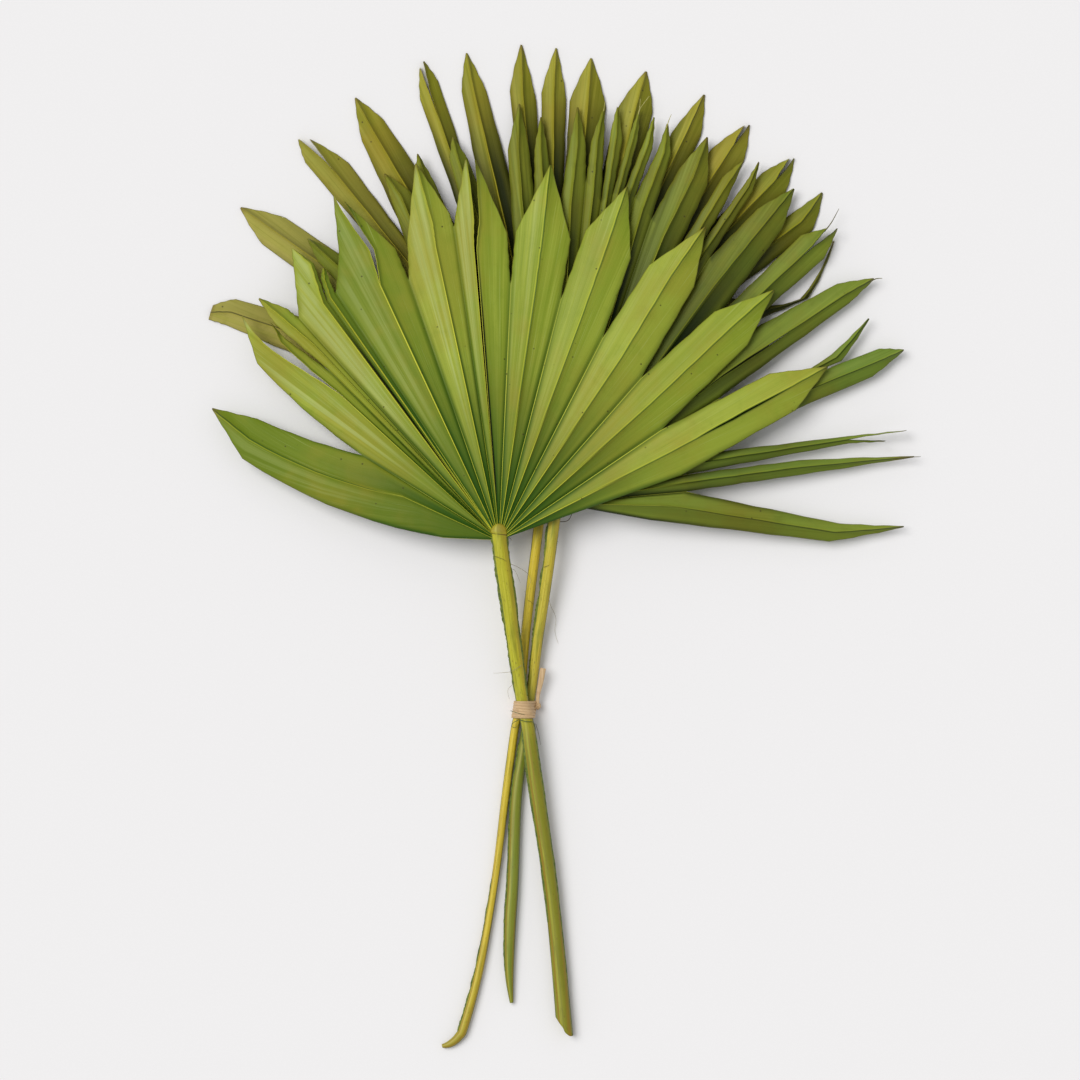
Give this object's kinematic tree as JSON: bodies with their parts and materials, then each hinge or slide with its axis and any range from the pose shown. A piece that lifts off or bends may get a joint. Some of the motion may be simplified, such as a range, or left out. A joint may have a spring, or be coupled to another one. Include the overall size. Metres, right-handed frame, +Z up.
{
  "type": "fan palm leaf bunch",
  "caption": "Tied bunch of cut fan palm leaves with pleated, split blades, lying flat, its stalks bound with raffia.",
  "frame": {"origin": "middle of the bunch's outline, on the surface that it lies on", "axes": "+Y from the cut stalks towards the tips of the fans, +Z up through the leaves, top faces up"},
  "size_m": [0.4244, 0.6038, 0.0286],
  "materials": {
    "leaf_front": "satin",
    "leaf_middle": "satin",
    "leaf_back": "satin",
    "stalk": "satin",
    "raffia": "matte"
  },
  "bodies": {
    "root": {"blade_front": "leaf_front", "blade_middle": "leaf_middle", "blade_back": "leaf_back", "stalk_front": "stalk", "stalk_middle": "stalk", "stalk_back": "stalk", "raffia_tie": "raffia"}
  },
  "joints": []
}
